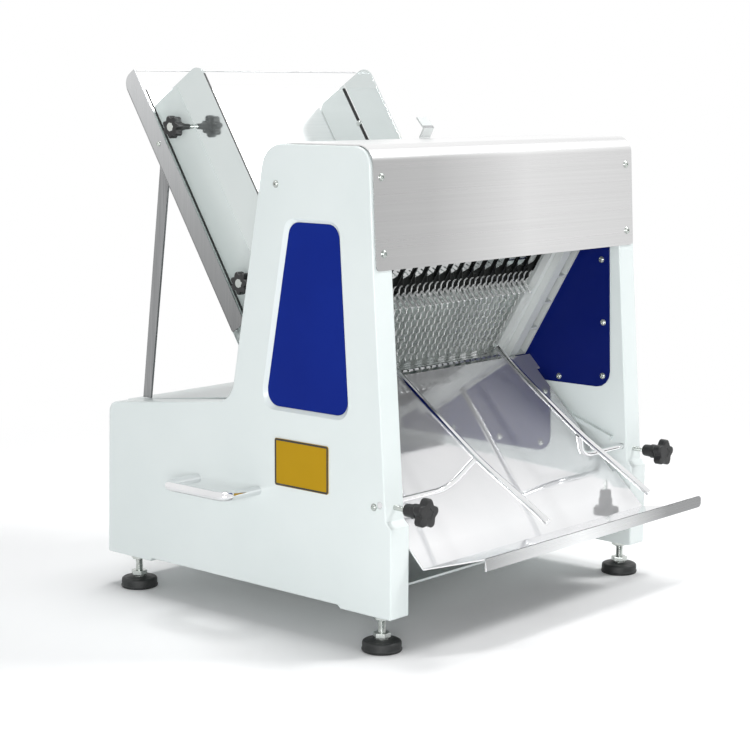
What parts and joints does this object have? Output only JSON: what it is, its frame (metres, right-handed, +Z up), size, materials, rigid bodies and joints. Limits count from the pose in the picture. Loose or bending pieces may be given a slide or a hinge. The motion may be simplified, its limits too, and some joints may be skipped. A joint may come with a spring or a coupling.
{
  "type": "bread slicer",
  "caption": "Table-top bread slicer: white side frames, steep infeed chute with two sliding guides, two counter-moving blade frames on an eccentric shaft, polished outfeed tray.",
  "frame": {"origin": "on the standing surface under the middle of the object's box", "axes": "+Z up, the loaf comes out towards -Y, +X to the right seen from the front"},
  "size_m": [0.668, 0.6319, 0.7018],
  "materials": {
    "white_paint": "smooth satin powder coat",
    "blue_paint": "smooth satin paint",
    "navy_paint": "smooth satin paint",
    "hood_steel": "fine brushed stainless",
    "chute_steel": "fine brushed stainless",
    "tray_steel": "polished stainless",
    "blade_steel": "ground blade steel",
    "plain_steel": "bright steel",
    "dark_steel": "dark grey metal",
    "cast_grey": "fine cast",
    "chrome": "bright plating",
    "black_plastic": "moulded, slightly glossy",
    "black_rubber": "matt rubber",
    "label_yellow": "printed sheet"
  },
  "bodies": {
    "body": {"side_frame_left": "white_paint", "side_frame_right": "white_paint", "window_cover_left": "blue_paint", "window_cover_right": "blue_paint", "inner_cover_left": "navy_paint", "inner_cover_right": "navy_paint", "hood": "hood_steel", "rear_cover": "white_paint", "floor_plate": "dark_steel", "chute_strut_left": "dark_steel", "chute_strut_right": "dark_steel", "motor": "dark_steel", "infeed_chute": "chute_steel", "tray_ledge_left": "white_paint", "tray_ledge_right": "white_paint", "press_tab": "white_paint", "upper_comb": "plain_steel", "lower_comb": "plain_steel", "slide_rail_left": "cast_grey", "slide_rail_right": "cast_grey", "bearing_left": "cast_grey", "bearing_right": "cast_grey", "outfeed_tray": "tray_steel", "handle_left": "chrome", "handle_right": "chrome", "drive_belt": "black_rubber", "label_plate": "label_yellow"},
    "blade_frame_front": {"blade_frame_front": "plain_steel", "blades_front": "blade_steel"},
    "blade_frame_rear": {"blade_frame_rear": "plain_steel", "blades_rear": "blade_steel"},
    "crank": {"crank_shaft": "dark_steel", "crank_pulley": "cast_grey"},
    "motor_rotor": {"motor_pulley": "cast_grey"},
    "crank_rod_front_left": {"crank_rod_front_left": "cast_grey"},
    "crank_rod_front_right": {"crank_rod_front_right": "cast_grey"},
    "crank_rod_rear_left": {"crank_rod_rear_left": "cast_grey"},
    "crank_rod_rear_right": {"crank_rod_rear_right": "cast_grey"},
    "chute_guide_left": {"chute_guide_left": "tray_steel", "slide_bolt_upper_left": "plain_steel", "slide_bolt_lower_left": "plain_steel"},
    "chute_knob_upper_left": {"chute_knob_upper_left": "black_plastic"},
    "chute_knob_lower_left": {"chute_knob_lower_left": "black_plastic"},
    "chute_guide_right": {"chute_guide_right": "tray_steel", "slide_bolt_upper_right": "plain_steel", "slide_bolt_lower_right": "plain_steel"},
    "chute_knob_upper_right": {"chute_knob_upper_right": "black_plastic"},
    "chute_knob_lower_right": {"chute_knob_lower_right": "black_plastic"},
    "guide_rail_left": {"guide_rail_left": "chrome"},
    "clamp_knob_left": {"clamp_knob_left": "black_plastic"},
    "guide_rail_right": {"guide_rail_right": "chrome"},
    "clamp_knob_right": {"clamp_knob_right": "black_plastic"},
    "foot_front_left": {"foot_pad_front_left": "black_rubber", "foot_stud_front_left": "chrome"},
    "foot_rear_left": {"foot_pad_rear_left": "black_rubber", "foot_stud_rear_left": "chrome"},
    "foot_front_right": {"foot_pad_front_right": "black_rubber", "foot_stud_front_right": "chrome"},
    "foot_rear_right": {"foot_pad_rear_right": "black_rubber", "foot_stud_rear_right": "chrome"}
  },
  "joints": [
    {"name": "blade_stroke_front", "type": "slide", "parent": "body", "child": "blade_frame_front", "axis": [0, -0.515, 0.8572], "range_m": [-0.02, 0.02]},
    {"name": "blade_stroke_rear", "type": "slide", "parent": "body", "child": "blade_frame_rear", "axis": [0, -0.515, 0.8572], "range_m": [-0.02, 0.02]},
    {"name": "crank_turn", "type": "hinge", "parent": "body", "child": "crank", "pos_m": [0, 0.117, 0.137], "axis": [1, 0, 0], "continuous": true},
    {"name": "motor_turn", "type": "hinge", "parent": "body", "child": "motor_rotor", "pos_m": [0, 0.229, 0.137], "axis": [1, 0, 0], "continuous": true},
    {"name": "rod_turn_front_left", "type": "hinge", "parent": "crank", "child": "crank_rod_front_left", "pos_m": [0, 0.13279, 0.14928], "axis": [1, 0, 0], "continuous": true},
    {"name": "rod_turn_front_right", "type": "hinge", "parent": "crank", "child": "crank_rod_front_right", "pos_m": [0, 0.13279, 0.14928], "axis": [1, 0, 0], "continuous": true},
    {"name": "rod_turn_rear_left", "type": "hinge", "parent": "crank", "child": "crank_rod_rear_left", "pos_m": [0, 0.09916, 0.12796], "axis": [1, 0, 0], "continuous": true},
    {"name": "rod_turn_rear_right", "type": "hinge", "parent": "crank", "child": "crank_rod_rear_right", "pos_m": [0, 0.09916, 0.12796], "axis": [1, 0, 0], "continuous": true},
    {"name": "guide_slide_left", "type": "slide", "parent": "body", "child": "chute_guide_left", "axis": [-1, 0, 0], "range_m": [-0.083, 0.004]},
    {"name": "chute_knob_upper_left_turn", "type": "hinge", "parent": "chute_guide_left", "child": "chute_knob_upper_left", "pos_m": [-0.203, 0.20426, 0.6252], "axis": [-1, 0, 0], "continuous": true},
    {"name": "chute_knob_lower_left_turn", "type": "hinge", "parent": "chute_guide_left", "child": "chute_knob_lower_left", "pos_m": [-0.203, 0.07927, 0.42976], "axis": [-1, 0, 0], "continuous": true},
    {"name": "guide_slide_right", "type": "slide", "parent": "body", "child": "chute_guide_right", "axis": [1, 0, 0], "range_m": [0, 0.087]},
    {"name": "chute_knob_upper_right_turn", "type": "hinge", "parent": "chute_guide_right", "child": "chute_knob_upper_right", "pos_m": [0.12, 0.20426, 0.6252], "axis": [1, 0, 0], "continuous": true},
    {"name": "chute_knob_lower_right_turn", "type": "hinge", "parent": "chute_guide_right", "child": "chute_knob_lower_right", "pos_m": [0.12, 0.07927, 0.42976], "axis": [1, 0, 0], "continuous": true},
    {"name": "rail_slide_left", "type": "slide", "parent": "body", "child": "guide_rail_left", "axis": [-1, 0, 0], "range_m": [0, 0.07]},
    {"name": "clamp_knob_left_turn", "type": "hinge", "parent": "body", "child": "clamp_knob_left", "pos_m": [-0.2527, -0.229, 0.1805], "axis": [0, -1, 0], "continuous": true},
    {"name": "rail_slide_right", "type": "slide", "parent": "body", "child": "guide_rail_right", "axis": [1, 0, 0], "range_m": [0, 0.07]},
    {"name": "clamp_knob_right_turn", "type": "hinge", "parent": "body", "child": "clamp_knob_right", "pos_m": [0.2527, -0.229, 0.1805], "axis": [0, -1, 0], "continuous": true},
    {"name": "foot_front_left_turn", "type": "hinge", "parent": "body", "child": "foot_front_left", "pos_m": [-0.2527, -0.172, 0.045], "axis": [0, 0, 1], "continuous": true},
    {"name": "foot_rear_left_turn", "type": "hinge", "parent": "body", "child": "foot_rear_left", "pos_m": [-0.2527, 0.272, 0.045], "axis": [0, 0, 1], "continuous": true},
    {"name": "foot_front_right_turn", "type": "hinge", "parent": "body", "child": "foot_front_right", "pos_m": [0.2527, -0.172, 0.045], "axis": [0, 0, 1], "continuous": true},
    {"name": "foot_rear_right_turn", "type": "hinge", "parent": "body", "child": "foot_rear_right", "pos_m": [0.2527, 0.272, 0.045], "axis": [0, 0, 1], "continuous": true}
  ],
  "couplings": [
    {"joint": "blade_stroke_rear", "follows": "blade_stroke_front", "ratio": -1},
    {"joint": "motor_turn", "follows": "crank_turn", "ratio": 2.4},
    {"joint": "rod_turn_front_left", "follows": "crank_turn", "ratio": -1},
    {"joint": "rod_turn_front_right", "follows": "crank_turn", "ratio": -1},
    {"joint": "rod_turn_rear_left", "follows": "crank_turn", "ratio": -1},
    {"joint": "rod_turn_rear_right", "follows": "crank_turn", "ratio": -1}
  ]
}
